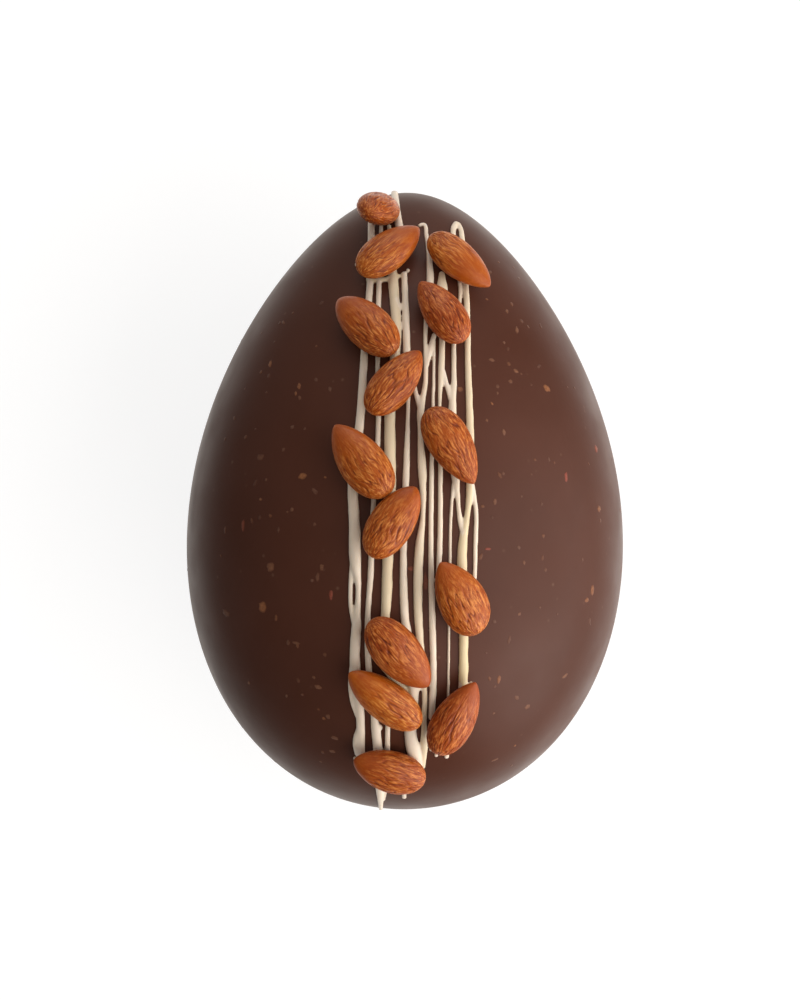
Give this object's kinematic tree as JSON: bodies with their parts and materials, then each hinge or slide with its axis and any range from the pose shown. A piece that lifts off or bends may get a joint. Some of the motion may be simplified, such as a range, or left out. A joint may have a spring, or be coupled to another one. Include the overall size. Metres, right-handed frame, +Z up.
{
  "type": "chocolate egg",
  "caption": "Dark chocolate egg lying on its back, with white chocolate drizzle and whole almonds in a band along its upper face.",
  "frame": {"origin": "centre of the small flat spot on the back that the egg rests on", "axes": "+Y along the egg towards its pointed end, +Z up out of the decorated face, +X across"},
  "size_m": [0.1276, 0.1806, 0.1348],
  "materials": {
    "dark_chocolate": "moulded dark chocolate, satin gloss, with small inclusions",
    "white_chocolate": "set white chocolate, satin",
    "inclusions": "dry, flush with the chocolate",
    "almond_skin": "wrinkled roasted skin, slight gloss"
  },
  "bodies": {
    "root": {"egg": "dark_chocolate", "almond_01": "almond_skin", "almond_02": "almond_skin", "almond_03": "almond_skin", "almond_04": "almond_skin", "almond_05": "almond_skin", "almond_06": "almond_skin", "almond_07": "almond_skin", "almond_08": "almond_skin", "almond_09": "almond_skin", "almond_10": "almond_skin", "almond_11": "almond_skin", "almond_12": "almond_skin", "almond_13": "almond_skin", "almond_14": "almond_skin"}
  },
  "joints": []
}
